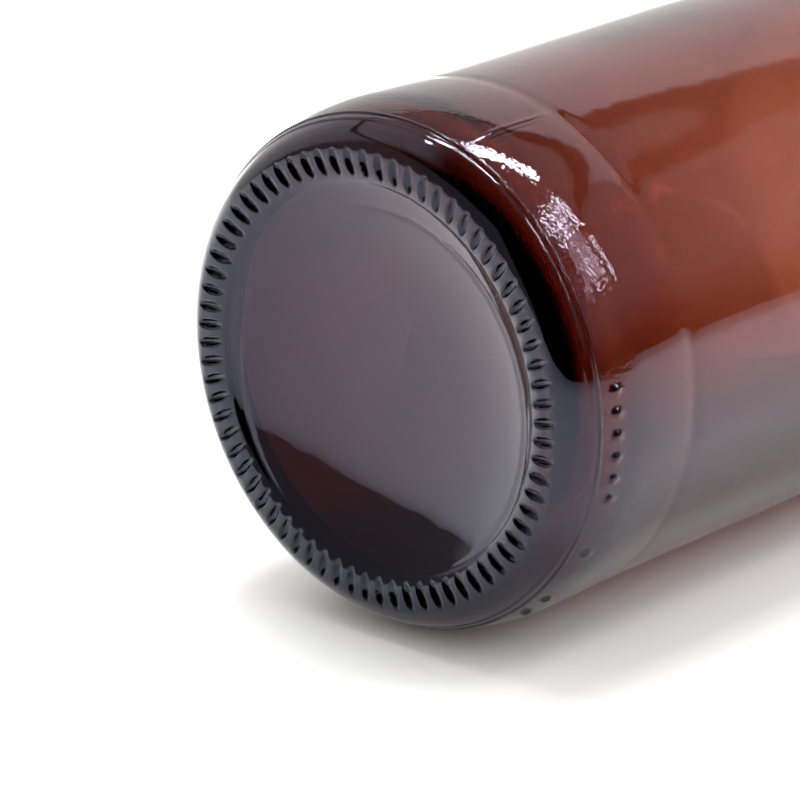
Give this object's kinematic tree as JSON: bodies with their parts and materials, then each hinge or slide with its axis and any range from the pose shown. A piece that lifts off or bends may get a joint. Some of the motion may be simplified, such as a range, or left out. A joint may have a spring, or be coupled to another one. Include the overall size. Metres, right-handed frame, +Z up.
{
  "type": "screw-cap glass bottle",
  "caption": "Amber glass pint bottle with a stippled base ring, short heel, threaded neck and a black screw cap over a tamper band.",
  "frame": {"origin": "middle of the base, on the surface that the bottle stands on", "axes": "+Z up the bottle's axis, from its base to its cap"},
  "size_m": [0.076, 0.076, 0.1931],
  "materials": {
    "amber_glass": "smooth, amber",
    "cap_plastic": "satin moulded",
    "liner_foam": "foam"
  },
  "bodies": {
    "bottle": {"glass_body": "amber_glass"},
    "liner": {"cap_liner": "liner_foam"},
    "cap": {"cap_shell": "cap_plastic"},
    "band": {"tamper_band": "cap_plastic"}
  },
  "joints": [
    {"name": "cap_rise", "type": "slide", "parent": "bottle", "child": "liner", "axis": [0, 0, 1], "range_m": [0, 0.0181]},
    {"name": "cap_turn", "type": "hinge", "parent": "liner", "child": "cap", "pos_m": [0, 0, 0.185], "axis": [0, 0, 1], "range_deg": [0, 720]},
    {"name": "band_turn", "type": "hinge", "parent": "bottle", "child": "band", "pos_m": [0, 0, 0.17], "axis": [0, 0, 1], "continuous": true}
  ],
  "couplings": [
    {"joint": "cap_rise", "follows": "cap_turn", "m_per_rad": 0.0014324}
  ]
}
